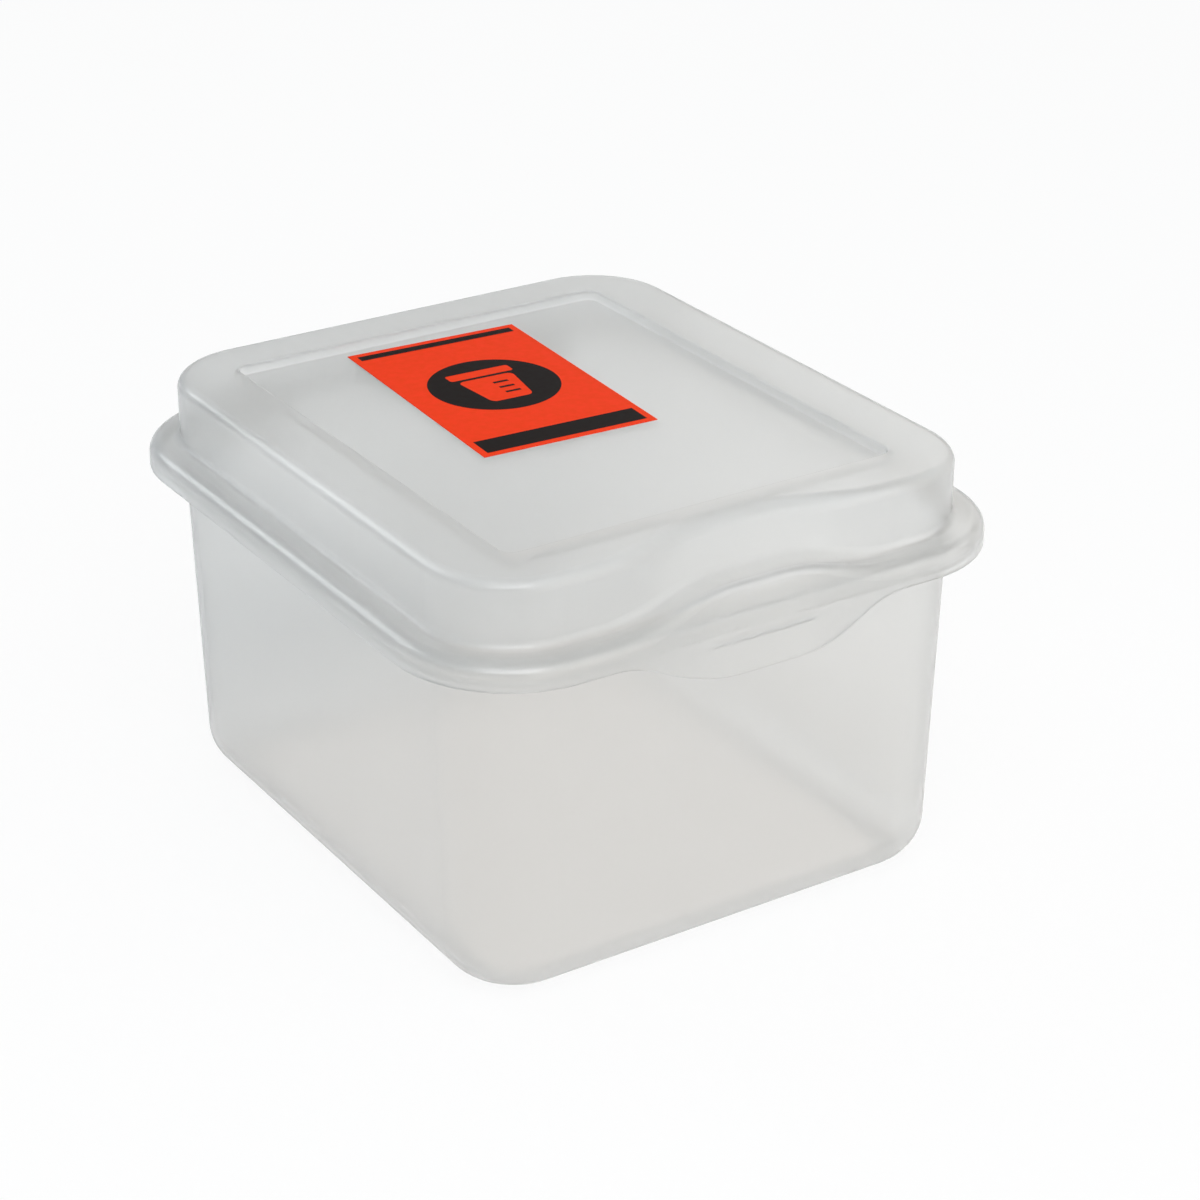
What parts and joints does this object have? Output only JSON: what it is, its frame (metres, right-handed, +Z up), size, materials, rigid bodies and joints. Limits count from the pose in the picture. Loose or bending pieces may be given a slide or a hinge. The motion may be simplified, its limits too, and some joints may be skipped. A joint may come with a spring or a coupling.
{
  "type": "hinged specimen container",
  "caption": "Frosted plastic box with a tapered tub, a flip lid on two snap hinges, a scooped front latch tab and a plain label, for carrying specimens.",
  "frame": {"origin": "centre of the tub's flat underside", "axes": "+Z up, -Y towards the latch tab, +Y towards the hinge, +X to the right seen from the tab"},
  "size_m": [0.168, 0.2, 0.1172],
  "materials": {
    "frosted_plastic": "frosted, translucent",
    "label_film": "satin printed film"
  },
  "bodies": {
    "tub": {"tub": "frosted_plastic"},
    "lid": {"lid": "frosted_plastic", "lid_label": "label_film"}
  },
  "joints": [
    {"name": "lid_hinge", "type": "hinge", "parent": "tub", "child": "lid", "pos_m": [0, 0.09738, 0.08802], "axis": [-1, 0, 0], "range_deg": [0, 110]}
  ]
}
